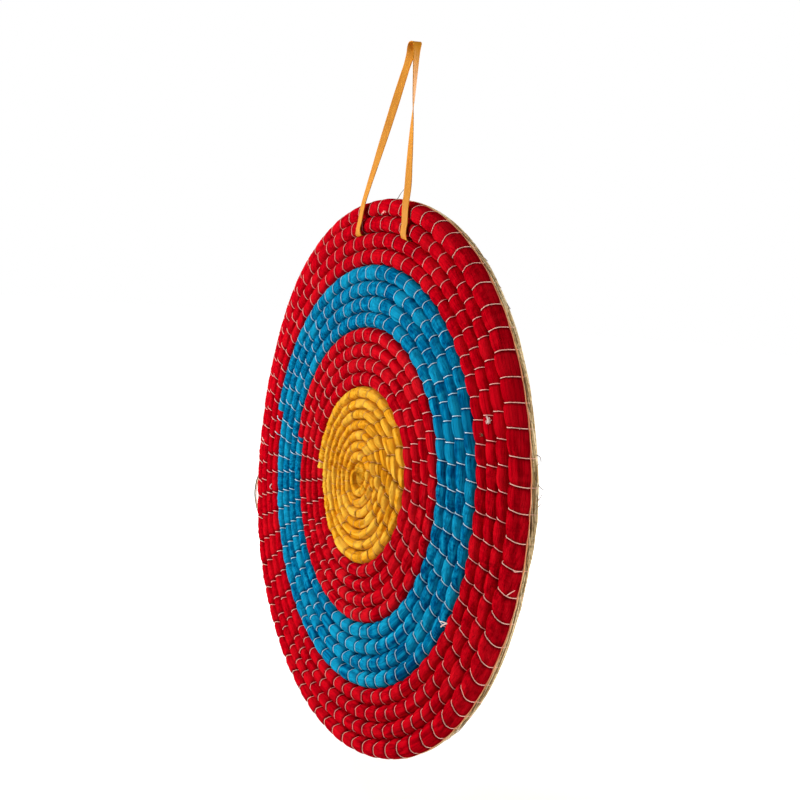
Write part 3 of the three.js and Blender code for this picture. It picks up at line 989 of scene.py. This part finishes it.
THREAD_TAILS = [
    [(334.6, 199, -16), (334, 196.9, -17.4), (333.5, 193.6, -18.7), (332.6, 189.9, -18.6)],
    [(334.4, 199, -16), (333.9, 197.2, -17.4), (333.2, 195.6, -18.8), (331.9, 193.6, -18.7)],
    [(196.4, 205.4, -15.6), (196, 203.4, -18), (195.4, 200, -18.9), (195, 197.6, -18.7)],
    [(182.6, 226.4, -16.6), (182.3, 228.6, -17.4), (181.9, 230.8, -16.8)],
]

LOOSE_END_STEPS = 16
TUFT_STEPS = 7


def spot(degrees, radius, depth):
    angle = math.radians(degrees)
    return radius * MM * math.cos(angle), depth * MM, radius * MM * math.sin(angle) - HOOK_TO_CENTRE


def loose_ends(name, rows, radius, taper):
    """Thin tubes through rows of places, thinner towards the end by the taper."""
    rng = np.random.default_rng(83)
    gathered = Tubes(6)
    for row in rows:
        places = np.array([spot(*place) for place in row])
        at = distances_along(places)
        wanted = np.linspace(0, at[-1], LOOSE_END_STEPS)
        path = eased_through(places, at, wanted)
        gathered.add(path, radius * (1 - taper * wanted / at[-1]), rng.uniform())
    return gathered.piece(name)


def tuft(name, turn, degrees, across, count, length, radius, seed):
    """A tuft of short frayed threads standing on the cloth."""
    rng = np.random.default_rng(seed)
    wound = wound_at(degrees, turn)
    radial, depth, _, _ = cloth_point(wound, across, -0.2 * MM)
    root = on_coil(wound, radial, depth)
    share = np.linspace(0, 1, TUFT_STEPS)[:, None]
    gathered = Tubes(5)
    for _ in range(count):
        sideways = rng.normal(0, 1, 3)
        lean = np.array((sideways[0], -0.55 - abs(sideways[1]) * 0.3, sideways[2] * 0.6))
        curl = rng.normal(0, 0.5, 3)
        reach = length * rng.uniform(0.5, 1)
        path = root + reach * (share * lean / np.linalg.norm(lean) + share ** 2 * 0.5 * curl)
        path[:, 1] = np.minimum(path[:, 1], root[1] + 0.1 * MM)
        gathered.add(path, radius * (1 - 0.5 * share[:, 0]), rng.uniform())
    return gathered.piece(name)


dark_strip = loose_ends("loose_dark_strip", [DARK_STRIP], 0.8 * MM, 0.3)
dark_straw = loose_ends("loose_dark_straw", DARK_WISPS, 0.42 * MM, 0.45)
pale_straw = loose_ends("loose_pale_straw", [PALE_STRIP], 0.62 * MM, 0.3)
thread_tails = loose_ends("loose_thread_tails", THREAD_TAILS, 0.58 * MM, 0.1)
pink_tails = loose_ends("loose_pink_tails", KNOT_ROWS + RIM_THREADS, 0.42 * MM, 0.2)
white_tuft = tuft("white_tuft", 16, 22, 0.6, 30, 3.8 * MM, 0.55 * MM, 91)
dull_tuft = tuft("dull_tuft", 15, 19.7, 0.72, 12, 3.2 * MM, 0.3 * MM, 92)


# Floor

FLOOR_Z = -0.72
FLOOR_REACH = 8
WHITE = (1, 1, 1, 1)


def floor():
    corners = [(x * FLOOR_REACH, y * FLOOR_REACH, FLOOR_Z) for x, y in ((-1, -1), (1, -1), (1, 1), (-1, 1))]
    piece = new_mesh("floor", corners, [(0, 1, 2, 3)])
    return piece


floor_piece = floor()


# Looks

class Look:
    """The nodes of a new material, or of a new world, under construction."""

    def __init__(self, name, kind="Material"):
        self.owner = (bpy.data.worlds if kind == "World" else bpy.data.materials).new(name)
        self.owner.use_nodes = True
        self.nodes = self.owner.node_tree.nodes
        self.links = self.owner.node_tree.links
        self.nodes.clear()
        self.output = self.nodes.new("ShaderNodeOutput" + kind)

    def connect(self, value, socket):
        """Links an output, or sets a plain value."""
        if isinstance(value, bpy.types.NodeSocket):
            self.links.new(value, socket)
        else:
            socket.default_value = value

    def node(self, kind, inputs=None, **settings):
        made = self.nodes.new("ShaderNode" + kind)
        for key, value in settings.items():
            setattr(made, key, value)
        for key, value in (inputs or {}).items():
            self.connect(value, made.inputs[key])
        return made

    def value_of(self, name):
        return self.node("Attribute", attribute_name=name).outputs["Fac"]

    def lane(self, along, across):
        """The lane's place, in grains of the given sizes along and across."""
        vector = self.node("Attribute", attribute_name="lane").outputs["Vector"]
        mapped = self.node("Mapping", {"Vector": vector, "Scale": (1 / along, 1 / across, 1 / across)})
        return mapped.outputs["Vector"]

    def noise(self, vector, scale, detail, rough=0.55):
        inputs = {"Vector": vector, "Scale": scale, "Detail": detail, "Roughness": rough}
        return self.node("TexNoise", inputs).outputs["Fac"]

    def mix(self, share, first, second):
        """Two colours mixed, by a share of the second. These are the node's sockets for colours."""
        made = self.node("Mix", data_type="RGBA")
        for index, value in ((0, share), (6, first), (7, second)):
            self.connect(value, made.inputs[index])
        return made.outputs[2]

    def math(self, operation, *values):
        return self.node("Math", dict(enumerate(values)), operation=operation).outputs[0]

    def ramp(self, value, low, high):
        made = self.node("MapRange", {0: value, 1: low, 2: high}, clamp=True)
        return made.outputs["Result"]

    def bump(self, height, distance, strength, normal=None):
        inputs = {"Height": height, "Distance": distance, "Strength": strength}
        if normal is not None:
            inputs["Normal"] = normal
        return self.node("Bump", inputs).outputs["Normal"]

    def seen_directly(self):
        """1 for the rays that show a surface as it is: from the camera, mirrored, or through glass."""
        rays = self.node("LightPath").outputs
        seen = self.math("MAXIMUM", rays["Is Camera Ray"], rays["Is Glossy Ray"])
        return self.math("MAXIMUM", seen, rays["Is Transmission Ray"])

    def surface(self, shader):
        self.links.new(shader.outputs[0], self.output.inputs["Surface"])
        return self.owner

    def finish(self, **inputs):
        inputs = {key.replace("_", " "): value for key, value in inputs.items()}
        return self.surface(self.node("BsdfPrincipled", inputs))


def colour(*parts):
    """A linear colour from red, green and blue as a picture has them, from 0 to 255."""
    linear = [((part / 255 + 0.055) / 1.055) ** 2.4 if part > 10 else part / 255 / 12.92 for part in parts]
    return (*linear, 1)


def cloth_look(name, shades, fold_grain, painted_line_share, painted_trough_share):
    """Puffed cotton with painted shade and highlight from its shades, and folds along the rope of a given
    length.
    """
    deep, base, light = (colour(*shade) for shade in shades)
    look = Look(name)
    painted_shade = look.value_of("painted_shade")
    tint = look.value_of("tint")
    full = look.value_of("loft")
    folds = look.noise(look.lane(fold_grain, fold_grain / 14), 1, 4)
    crinkles = look.noise(look.lane(4.5 * MM, 2.6 * MM), 1, 3)
    wrinkle = look.math("ADD", look.math("MULTIPLY", folds, look.ramp(full, -0.4, 1.0)),
                        look.math("MULTIPLY", crinkles, look.ramp(full, 1.0, -0.4)))
    mottle = look.noise(look.lane(9 * MM, 9 * MM), 1, 3)
    weave = look.noise(look.lane(0.55 * MM, 0.55 * MM), 1, 1)
    # Fine lines along the folds, darkened below as painted shade in their creases
    strands = look.noise(look.lane(fold_grain * 1.2, fold_grain / 22), 1, 2)
    off_line = look.ramp(look.math("ABSOLUTE", look.math("SUBTRACT", strands, 0.5)), 0.0, 0.05)
    # Darker in the folds' troughs and lighter on their crests: painted shade and painted highlight
    shade = look.mix(look.ramp(wrinkle, 0.38, 0.52), look.mix(painted_trough_share, base, deep), base)
    shade = look.mix(look.ramp(wrinkle, 0.5, 0.72), shade, light)
    # The fine fold lines: painted shade
    shade = look.mix(look.math("MULTIPLY", look.math("SUBTRACT", 1.0, off_line), painted_line_share), shade, deep)
    shade = look.mix(look.ramp(mottle, 0.5, 0.85), shade, light)
    # Lighter on cells that swell more and on fold crests: painted highlight
    shade = look.mix(look.ramp(look.math("ADD", tint, wrinkle), 0.4, 2.2), shade, light)
    # Painted shade by stitches, in the valleys between turns and on the far flank
    shade = look.mix(look.math("MULTIPLY", painted_shade, 0.85), shade, deep)
    shade = look.mix(look.ramp(weave, 0.3, 0.75), look.mix(0.16, shade, deep), shade)
    first = look.bump(look.math("ADD", wrinkle, look.math("MULTIPLY", off_line, 0.2)), 2 * MM, 0.9)
    second = look.bump(weave, 0.12 * MM, 0.5, first)
    return look.finish(Base_Color=shade, Roughness=0.9, Normal=second, Specular_IOR_Level=0.0)


def thread_look(name, base, dark):
    base, dark = colour(*base), colour(*dark)
    look = Look(name)
    along = look.value_of("along")
    tint = look.value_of("tint")
    coordinates = look.node("TexCoord").outputs["Object"]
    fuzz = look.noise(coordinates, 2600, 2)
    ply = look.math("SINE", look.math("MULTIPLY", along, TAU / (1.1 * MM)))
    shade = look.mix(look.ramp(fuzz, 0.3, 0.75), dark, base)
    shade = look.mix(look.math("MULTIPLY", tint, 0.35), shade, dark)
    normal = look.bump(look.math("ADD", ply, fuzz), 0.1 * MM, 0.6)
    return look.finish(Base_Color=shade, Roughness=0.8, Normal=normal, Sheen_Weight=0.2)


def straw_look(name, *shades):
    dark, base, light = (colour(*shade) for shade in shades)
    look = Look(name)
    painted_shade = look.value_of("painted_shade")
    fibres = look.noise(look.lane(30 * MM, 1.1 * MM), 1, 5, 0.65)
    patch = look.noise(look.lane(70 * MM, 6 * MM), 1, 2)
    shade = look.mix(look.ramp(patch, 0.3, 0.7), base, light)
    shade = look.mix(look.ramp(fibres, 0.43, 0.55), dark, shade)
    # Painted shade between the straw's strands and in the eye's folds
    shade = look.mix(look.math("MULTIPLY", look.math("POWER", painted_shade, 2), 0.7), shade, dark)
    normal = look.bump(fibres, 0.5 * MM, 0.8)
    return look.finish(Base_Color=shade, Roughness=0.62, Normal=normal, Specular_IOR_Level=0.35)


def stalk_look(name, *shades):
    dark, base, light = (colour(*shade) for shade in shades)
    look = Look(name)
    tint = look.value_of("tint")
    coordinates = look.node("TexCoord").outputs["Object"]
    speck = look.noise(coordinates, 420, 3)
    shade = look.mix(look.ramp(tint, 0.2, 0.75), base, light)
    shade = look.mix(look.ramp(tint, 0.22, 0.0), shade, dark)
    shade = look.mix(look.ramp(speck, 0.5, 0.78), shade, dark)
    normal = look.bump(speck, 0.15 * MM, 0.5)
    return look.finish(Base_Color=shade, Roughness=0.5, Normal=normal, Specular_IOR_Level=0.4)


def ribbon_look(name):
    look = Look(name)
    ribs = look.noise(look.lane(0.5 * MM, 3 * MM), 1, 1)
    slubs = look.noise(look.lane(14 * MM, 0.6 * MM), 1, 3)
    shade = look.mix(look.ramp(slubs, 0.35, 0.7), colour(192, 120, 16), colour(220, 152, 38))
    shade = look.mix(look.ramp(ribs, 0.3, 0.75), look.mix(0.25, shade, colour(184, 96, 10)), shade)
    normal = look.bump(ribs, 0.12 * MM, 0.6)
    return look.finish(Base_Color=shade, Roughness=0.6, Normal=normal, Specular_IOR_Level=0.12)


def floor_look():
    """A pale floor that glows to white in pictures, less so near the boss, where its shadow shows."""
    look = Look("floor")
    place = look.node("TexCoord").outputs["Object"]
    grain = look.noise(place, 3, 2)
    plain = look.node("BsdfDiffuse", {"Color": look.mix(grain, (0.8, 0.8, 0.79, 1), (0.82, 0.82, 0.82, 1))})
    away = look.node("VectorMath", {0: place, 1: (0, 0, FLOOR_Z)}, operation="DISTANCE").outputs["Value"]
    strength = look.math("MULTIPLY_ADD", look.ramp(away, 0.3, 1.0), 0.7, 0.3)
    glow = look.node("Emission", {"Color": WHITE, "Strength": strength})
    both = look.node("AddShader", {0: plain.outputs[0], 1: glow.outputs[0]})
    shaders = {0: look.seen_directly(), 1: plain.outputs[0], 2: both.outputs[0]}
    return look.surface(look.node("MixShader", shaders))


# Each cloth's shades from deep to light, the length of its folds, and the strength of its painted lines and
# streaks
# The deep shade paints shade and the light one paints highlight, besides darkening the weave and lightening
# the mottling
CLOTHS = {
    "yellow_cloth": (((100, 40, 0), (246, 166, 28), (255, 204, 78)), 24 * MM, 0.14, 0.35),
    "inner_red_cloth": (((80, 0, 6), (196, 0, 20), (224, 26, 38)), 32 * MM, 0.2, 0.55),
    "blue_cloth": (((0, 30, 84), (0, 118, 165), (26, 168, 206)), 32 * MM, 0.5, 0.75),
    "outer_red_cloth": (((80, 0, 6), (194, 0, 20), (216, 16, 30)), 32 * MM, 0.18, 0.5),
    "cloth_edge": (((184, 68, 34), (246, 142, 92), (254, 198, 152)), 18 * MM, 0.1, 0.4),
}
# Light and dark shade of each thread
THREADS = {
    "yellow": ((250, 196, 104), (220, 150, 52)),
    "inner_red": ((255, 210, 198), (255, 158, 146)),
    "blue": ((240, 252, 255), (176, 222, 242)),
    "outer_red": ((255, 212, 198), (255, 162, 148)),
    "rim": ((255, 222, 202), (255, 176, 154)),
    "back": ((236, 224, 196), (190, 170, 130)),
    "tail": ((255, 244, 236), (234, 200, 186)),
    "white": ((255, 252, 246), (255, 236, 224)),
    "dull": ((176, 140, 92), (104, 64, 36)),
}
cloth_looks = {name: cloth_look(name, *values) for name, values in CLOTHS.items()}
thread_looks = {name: thread_look(name + "_thread", *shades) for name, shades in THREADS.items()}
straw = straw_look("straw", (84, 58, 22), (212, 180, 114), (244, 220, 166))
stalk = stalk_look("stalk", (122, 86, 40), (196, 162, 98), (252, 230, 184))
dark_stalk = stalk_look("dark_stalk", (40, 24, 10), (84, 56, 26), (126, 92, 50))
pale_stalk = stalk_look("pale_stalk", (196, 150, 100), (236, 206, 160), (255, 236, 200))
ribbon_tape = ribbon_look("ribbon_tape")


# What each piece wears, and the body it rides on

def dress(piece, look, body="boss"):
    """Gives a piece its look, and has it ride on a body if one is given."""
    piece.data.materials.append(look)
    if body:
        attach(piece, body)


for zone, piece in cloths.items():
    dress(piece, cloth_looks[zone + "_cloth"])
    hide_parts(zone + "_cloth_wrap")
dress(eye_cloth, cloth_looks["yellow_cloth"])
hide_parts("eye_cloth_cap")
dress(eye_straw, straw)
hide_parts("rope_start_eye")
dress(straw_rope, straw)
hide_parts("straw_rope_coil")
dress(back_stalks, stalk)
dress(rim_stalks, stalk)
for zone, piece in threads.items():
    dress(piece, thread_looks[zone])
dress(edge, cloth_looks["cloth_edge"])
dress(dark_strip, dark_stalk)
dress(dark_straw, dark_stalk)
dress(pale_straw, pale_stalk)
dress(thread_tails, thread_looks["tail"])
dress(pink_tails, thread_looks["outer_red"])
dress(white_tuft, thread_looks["white"])
dress(dull_tuft, thread_looks["dull"])
for piece in ribbon_pieces:
    dress(piece, ribbon_tape)
dress(loop, ribbon_tape, None)
floor_piece.data.materials.append(floor_look())


# Light

WORLD_LIGHT = 0.12


def area_light(name, towards, distance, size, power):
    """A round lamp that shines on the boss's middle from the given side, at a distance from there."""
    data = bpy.data.lights.new(name, "AREA")
    data.shape = "DISK"
    data.size = size
    data.energy = power
    lamp = bpy.data.objects.new(name, data)
    centre = Vector((0, 0, -HOOK_TO_CENTRE))
    direction = Vector(towards).normalized()
    lamp.location = centre + direction * distance
    lamp.rotation_euler = (-direction).to_track_quat("-Z", "Y").to_euler()
    bpy.context.scene.collection.objects.link(lamp)


area_light("key", (-0.8, -1, 0.12), 1.5, 0.9, 26)
area_light("top", (-0.2, -0.5, 1), 1.6, 1.0, 9)
area_light("rim", (1, 0.5, 0.15), 1.6, 0.8, 16)
area_light("back", (-0.3, 1, 0.3), 1.8, 0.9, 24)


def studio():
    """A world that is white to the camera, and lights the boss softly from all round."""
    look = Look("studio", "World")
    soft = look.node("Background", {"Color": WHITE, "Strength": WORLD_LIGHT})
    white = look.node("Background", {"Color": WHITE, "Strength": 1})
    both = look.node("MixShader", {0: look.seen_directly(), 1: soft.outputs[0], 2: white.outputs[0]})
    return look.surface(both)


bpy.context.scene.world = studio()
bpy.context.scene.view_settings.view_transform = "Standard"
